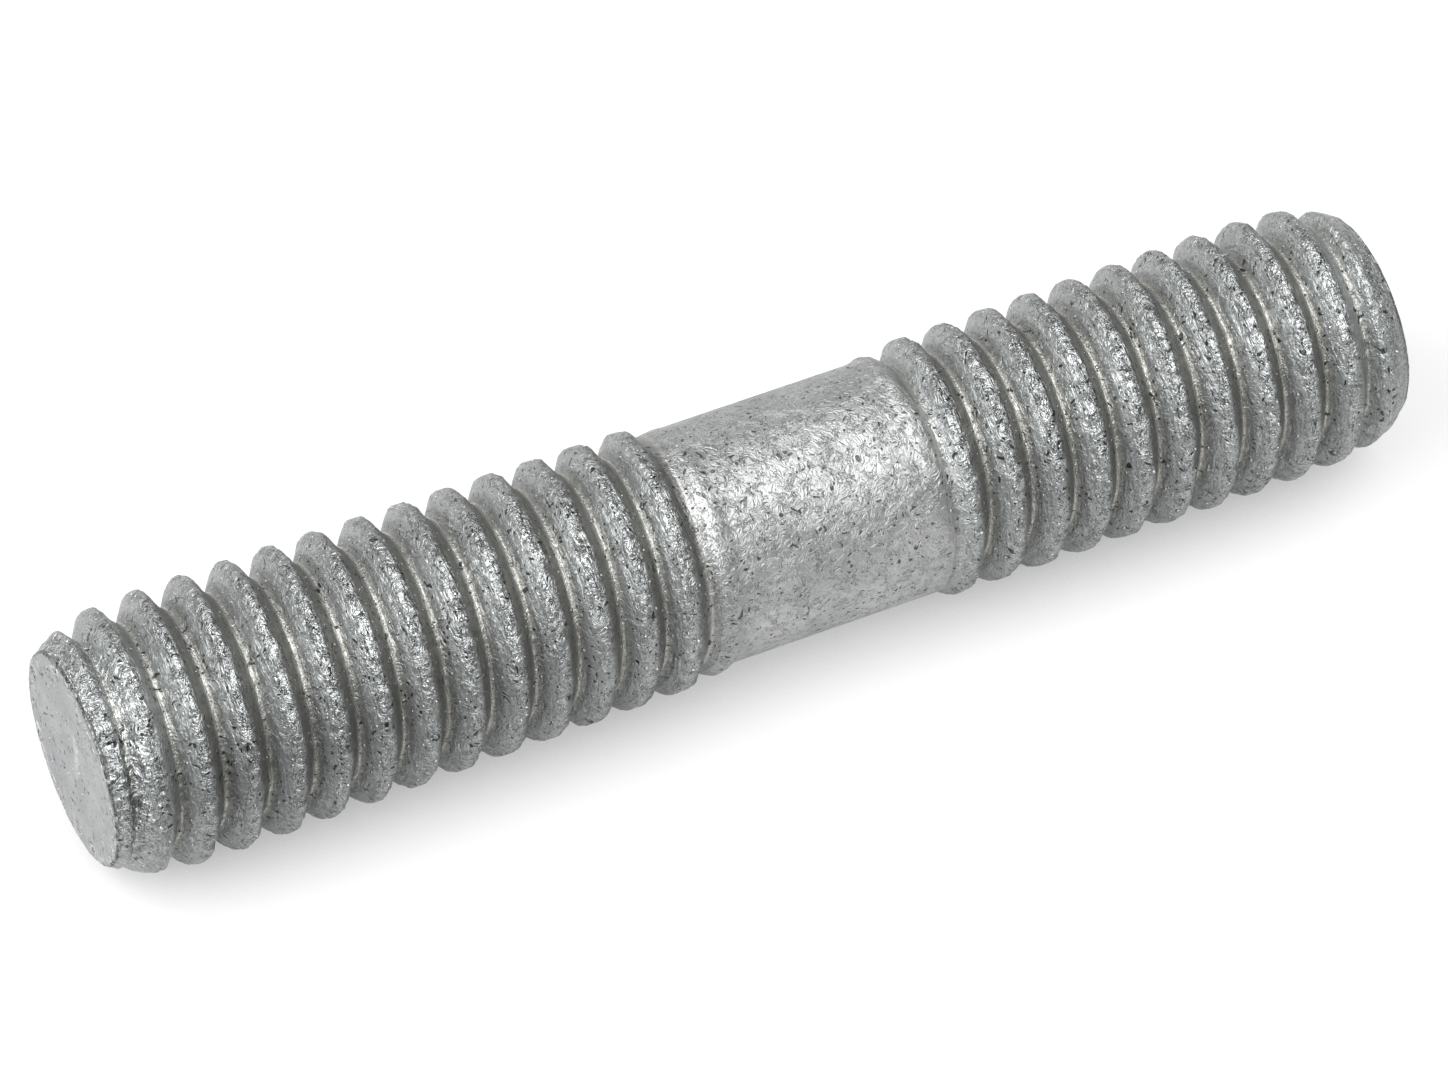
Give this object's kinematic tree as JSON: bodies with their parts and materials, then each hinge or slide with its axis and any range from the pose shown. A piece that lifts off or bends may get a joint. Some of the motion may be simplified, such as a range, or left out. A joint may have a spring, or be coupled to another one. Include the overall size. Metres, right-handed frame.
{
  "type": "double-ended threaded pin",
  "caption": "Headless steel stud with a left-hand thread at each end, one longer than the other, a plain shank between them and chamfered ends, galvanised all over.",
  "frame": {"origin": "middle of the lower end face, which the pin stands on", "axes": "+Z along the pin's axis, from the end with the shorter thread to the end with the longer one"},
  "size_m": [0.0058, 0.0058, 0.03],
  "materials": {
    "galvanised_steel": "hot-dip galvanised: dull grey zinc, wrinkled and pitted on the shank, nibbled along the crests, with fine bright sparkles"
  },
  "bodies": {
    "root": {"threaded_pin": "galvanised_steel"}
  },
  "joints": []
}
